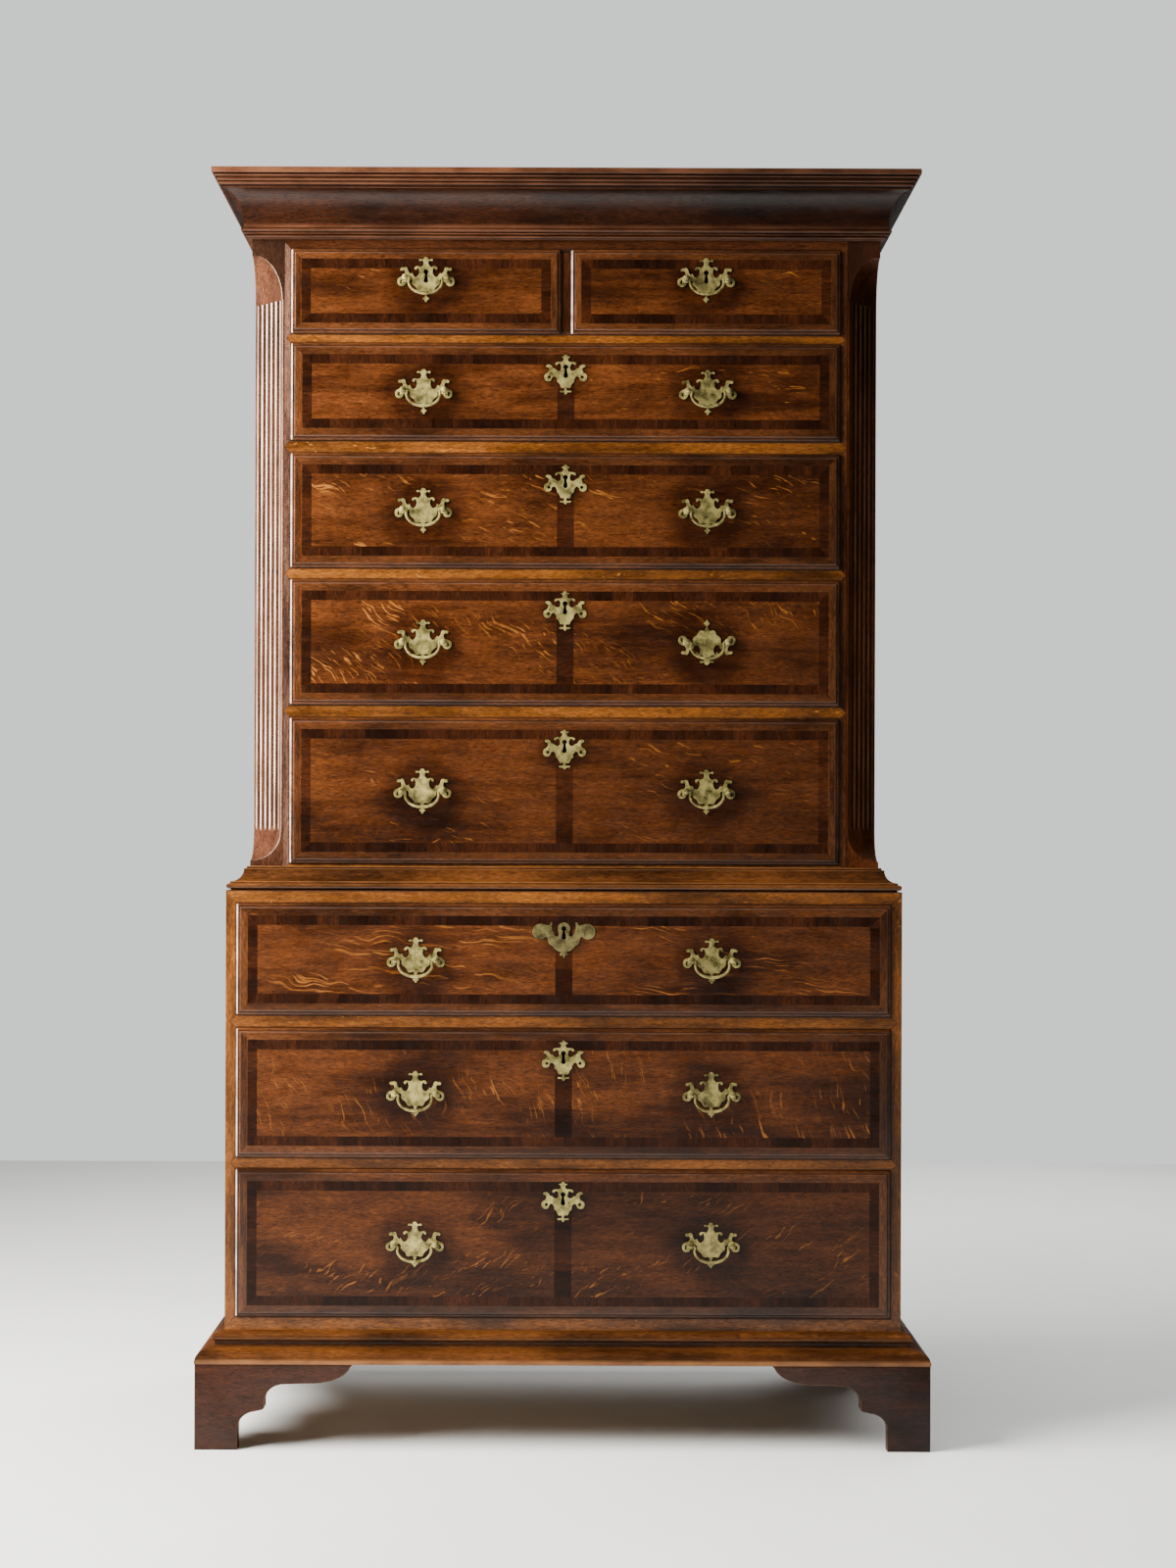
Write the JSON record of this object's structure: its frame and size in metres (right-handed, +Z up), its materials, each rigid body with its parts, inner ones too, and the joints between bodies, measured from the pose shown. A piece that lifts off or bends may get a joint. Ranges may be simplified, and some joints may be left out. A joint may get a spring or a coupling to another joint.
{
  "type": "chest on chest",
  "caption": "Tall oak chest on chest: crossbanded lipped drawers in two stacked cases, canted fluted upper corners, cornice, bracket feet and swinging brass bail handles",
  "frame": {"origin": "middle of the floor area, on the floor", "axes": "+Z up, the drawers open towards -Y, +X to the right as seen from the front"},
  "size_m": [1.062, 0.549, 1.8525],
  "materials": {
    "red_oak": "polished quarter-sawn oak with dark mahogany crossbanding",
    "golden_oak": "polished golden oak on rails, mouldings and feet",
    "case_oak": "polished oak sides, plain boards inside and at the back",
    "brass": "aged cast brass with worn bright edges",
    "iron": "dark filed iron"
  },
  "bodies": {
    "lower_chest": {"lower_case": "case_oak", "lower_face_frame": "golden_oak", "base_moulding": "golden_oak", "foot_front_left": "golden_oak", "foot_front_right": "golden_oak", "foot_back_left": "golden_oak", "foot_back_right": "golden_oak"},
    "upper_chest": {"upper_case": "case_oak", "upper_face_frame": "golden_oak", "cornice": "golden_oak"},
    "drawer_lower_bottom": {"drawer_lower_bottom": "red_oak", "handle_plate_lower_bottom_left": "brass", "handle_plate_lower_bottom_right": "brass"},
    "lock_bolt_lower_bottom": {"lock_bolt_lower_bottom": "iron"},
    "bail_lower_bottom_left": {"bail_lower_bottom_left": "brass"},
    "bail_lower_bottom_right": {"bail_lower_bottom_right": "brass"},
    "drawer_lower_middle": {"drawer_lower_middle": "red_oak", "handle_plate_lower_middle_left": "brass", "handle_plate_lower_middle_right": "brass"},
    "lock_bolt_lower_middle": {"lock_bolt_lower_middle": "iron"},
    "bail_lower_middle_left": {"bail_lower_middle_left": "brass"},
    "bail_lower_middle_right": {"bail_lower_middle_right": "brass"},
    "drawer_lower_top": {"drawer_lower_top": "red_oak", "handle_plate_lower_top_left": "brass", "handle_plate_lower_top_right": "brass"},
    "lock_bolt_lower_top": {"lock_bolt_lower_top": "iron"},
    "bail_lower_top_left": {"bail_lower_top_left": "brass"},
    "bail_lower_top_right": {"bail_lower_top_right": "brass"},
    "drawer_upper_bottom": {"drawer_upper_bottom": "red_oak", "handle_plate_upper_bottom_left": "brass", "handle_plate_upper_bottom_right": "brass"},
    "lock_bolt_upper_bottom": {"lock_bolt_upper_bottom": "iron"},
    "bail_upper_bottom_left": {"bail_upper_bottom_left": "brass"},
    "bail_upper_bottom_right": {"bail_upper_bottom_right": "brass"},
    "drawer_upper_third": {"drawer_upper_third": "red_oak", "handle_plate_upper_third_left": "brass", "handle_plate_upper_third_right": "brass"},
    "lock_bolt_upper_third": {"lock_bolt_upper_third": "iron"},
    "bail_upper_third_left": {"bail_upper_third_left": "brass"},
    "bail_upper_third_right": {"bail_upper_third_right": "brass"},
    "drawer_upper_second": {"drawer_upper_second": "red_oak", "handle_plate_upper_second_left": "brass", "handle_plate_upper_second_right": "brass"},
    "lock_bolt_upper_second": {"lock_bolt_upper_second": "iron"},
    "bail_upper_second_left": {"bail_upper_second_left": "brass"},
    "bail_upper_second_right": {"bail_upper_second_right": "brass"},
    "drawer_upper_first": {"drawer_upper_first": "red_oak", "handle_plate_upper_first_left": "brass", "handle_plate_upper_first_right": "brass"},
    "lock_bolt_upper_first": {"lock_bolt_upper_first": "iron"},
    "bail_upper_first_left": {"bail_upper_first_left": "brass"},
    "bail_upper_first_right": {"bail_upper_first_right": "brass"},
    "drawer_short_left": {"drawer_short_left": "red_oak", "handle_plate_short_left": "brass"},
    "lock_bolt_short_left": {"lock_bolt_short_left": "iron"},
    "bail_short_left": {"bail_short_left": "brass"},
    "drawer_short_right": {"drawer_short_right": "red_oak", "handle_plate_short_right": "brass"},
    "lock_bolt_short_right": {"lock_bolt_short_right": "iron"},
    "bail_short_right": {"bail_short_right": "brass"}
  },
  "joints": [
    {"name": "drawer_lower_bottom_slide", "type": "slide", "parent": "lower_chest", "child": "drawer_lower_bottom", "axis": [0, -1, 0], "range_m": [0, 0.36]},
    {"name": "drawer_lower_middle_slide", "type": "slide", "parent": "lower_chest", "child": "drawer_lower_middle", "axis": [0, -1, 0], "range_m": [0, 0.36]},
    {"name": "drawer_lower_top_slide", "type": "slide", "parent": "lower_chest", "child": "drawer_lower_top", "axis": [0, -1, 0], "range_m": [0, 0.36]},
    {"name": "drawer_upper_bottom_slide", "type": "slide", "parent": "upper_chest", "child": "drawer_upper_bottom", "axis": [0, -1, 0], "range_m": [0, 0.33]},
    {"name": "drawer_upper_third_slide", "type": "slide", "parent": "upper_chest", "child": "drawer_upper_third", "axis": [0, -1, 0], "range_m": [0, 0.33]},
    {"name": "drawer_upper_second_slide", "type": "slide", "parent": "upper_chest", "child": "drawer_upper_second", "axis": [0, -1, 0], "range_m": [0, 0.33]},
    {"name": "drawer_upper_first_slide", "type": "slide", "parent": "upper_chest", "child": "drawer_upper_first", "axis": [0, -1, 0], "range_m": [0, 0.33]},
    {"name": "drawer_short_left_slide", "type": "slide", "parent": "upper_chest", "child": "drawer_short_left", "axis": [0, -1, 0], "range_m": [0, 0.33]},
    {"name": "drawer_short_right_slide", "type": "slide", "parent": "upper_chest", "child": "drawer_short_right", "axis": [0, -1, 0], "range_m": [0, 0.33]},
    {"name": "upper_chest_lift", "type": "slide", "parent": "lower_chest", "child": "upper_chest", "axis": [0, 0, 1], "range_m": [0, 0.06]},
    {"name": "bail_lower_bottom_left_swing", "type": "hinge", "parent": "drawer_lower_bottom", "child": "bail_lower_bottom_left", "pos_m": [-0.215, -0.2568, 0.2925], "axis": [-1, 0, 0], "range_deg": [-25, 205]},
    {"name": "bail_lower_bottom_right_swing", "type": "hinge", "parent": "drawer_lower_bottom", "child": "bail_lower_bottom_right", "pos_m": [0.215, -0.2568, 0.2925], "axis": [-1, 0, 0], "range_deg": [-25, 205]},
    {"name": "bail_lower_middle_left_swing", "type": "hinge", "parent": "drawer_lower_middle", "child": "bail_lower_middle_left", "pos_m": [-0.215, -0.2568, 0.511], "axis": [-1, 0, 0], "range_deg": [-25, 205]},
    {"name": "bail_lower_middle_right_swing", "type": "hinge", "parent": "drawer_lower_middle", "child": "bail_lower_middle_right", "pos_m": [0.215, -0.2568, 0.511], "axis": [-1, 0, 0], "range_deg": [-25, 205]},
    {"name": "bail_lower_top_left_swing", "type": "hinge", "parent": "drawer_lower_top", "child": "bail_lower_top_left", "pos_m": [-0.215, -0.2568, 0.705], "axis": [-1, 0, 0], "range_deg": [-25, 205]},
    {"name": "bail_lower_top_right_swing", "type": "hinge", "parent": "drawer_lower_top", "child": "bail_lower_top_right", "pos_m": [0.215, -0.2568, 0.705], "axis": [-1, 0, 0], "range_deg": [-25, 205]},
    {"name": "bail_upper_bottom_left_swing", "type": "hinge", "parent": "drawer_upper_bottom", "child": "bail_upper_bottom_left", "pos_m": [-0.208, -0.2258, 0.951], "axis": [-1, 0, 0], "range_deg": [-25, 205]},
    {"name": "bail_upper_bottom_right_swing", "type": "hinge", "parent": "drawer_upper_bottom", "child": "bail_upper_bottom_right", "pos_m": [0.208, -0.2258, 0.951], "axis": [-1, 0, 0], "range_deg": [-25, 205]},
    {"name": "bail_upper_third_left_swing", "type": "hinge", "parent": "drawer_upper_third", "child": "bail_upper_third_left", "pos_m": [-0.208, -0.2258, 1.169], "axis": [-1, 0, 0], "range_deg": [-25, 205]},
    {"name": "bail_upper_third_right_swing", "type": "hinge", "parent": "drawer_upper_third", "child": "bail_upper_third_right", "pos_m": [0.208, -0.2258, 1.169], "axis": [-1, 0, 0], "range_deg": [-25, 205]},
    {"name": "bail_upper_second_left_swing", "type": "hinge", "parent": "drawer_upper_second", "child": "bail_upper_second_left", "pos_m": [-0.208, -0.2258, 1.362], "axis": [-1, 0, 0], "range_deg": [-25, 205]},
    {"name": "bail_upper_second_right_swing", "type": "hinge", "parent": "drawer_upper_second", "child": "bail_upper_second_right", "pos_m": [0.208, -0.2258, 1.362], "axis": [-1, 0, 0], "range_deg": [-25, 205]},
    {"name": "bail_upper_first_left_swing", "type": "hinge", "parent": "drawer_upper_first", "child": "bail_upper_first_left", "pos_m": [-0.208, -0.2258, 1.53625], "axis": [-1, 0, 0], "range_deg": [-25, 205]},
    {"name": "bail_upper_first_right_swing", "type": "hinge", "parent": "drawer_upper_first", "child": "bail_upper_first_right", "pos_m": [0.208, -0.2258, 1.53625], "axis": [-1, 0, 0], "range_deg": [-25, 205]},
    {"name": "bail_short_left_swing", "type": "hinge", "parent": "drawer_short_left", "child": "bail_short_left", "pos_m": [-0.20525, -0.2258, 1.7005], "axis": [-1, 0, 0], "range_deg": [-25, 205]},
    {"name": "bail_short_right_swing", "type": "hinge", "parent": "drawer_short_right", "child": "bail_short_right", "pos_m": [0.20525, -0.2258, 1.7005], "axis": [-1, 0, 0], "range_deg": [-25, 205]},
    {"name": "lock_bolt_lower_bottom_throw", "type": "slide", "parent": "drawer_lower_bottom", "child": "lock_bolt_lower_bottom", "axis": [0, 0, 1], "range_m": [0, 0.007]},
    {"name": "lock_bolt_lower_middle_throw", "type": "slide", "parent": "drawer_lower_middle", "child": "lock_bolt_lower_middle", "axis": [0, 0, 1], "range_m": [0, 0.007]},
    {"name": "lock_bolt_lower_top_throw", "type": "slide", "parent": "drawer_lower_top", "child": "lock_bolt_lower_top", "axis": [0, 0, 1], "range_m": [0, 0.007]},
    {"name": "lock_bolt_upper_bottom_throw", "type": "slide", "parent": "drawer_upper_bottom", "child": "lock_bolt_upper_bottom", "axis": [0, 0, 1], "range_m": [0, 0.007]},
    {"name": "lock_bolt_upper_third_throw", "type": "slide", "parent": "drawer_upper_third", "child": "lock_bolt_upper_third", "axis": [0, 0, 1], "range_m": [0, 0.007]},
    {"name": "lock_bolt_upper_second_throw", "type": "slide", "parent": "drawer_upper_second", "child": "lock_bolt_upper_second", "axis": [0, 0, 1], "range_m": [0, 0.007]},
    {"name": "lock_bolt_upper_first_throw", "type": "slide", "parent": "drawer_upper_first", "child": "lock_bolt_upper_first", "axis": [0, 0, 1], "range_m": [0, 0.007]},
    {"name": "lock_bolt_short_left_throw", "type": "slide", "parent": "drawer_short_left", "child": "lock_bolt_short_left", "axis": [0, 0, 1], "range_m": [0, 0.007]},
    {"name": "lock_bolt_short_right_throw", "type": "slide", "parent": "drawer_short_right", "child": "lock_bolt_short_right", "axis": [0, 0, 1], "range_m": [0, 0.007]}
  ]
}
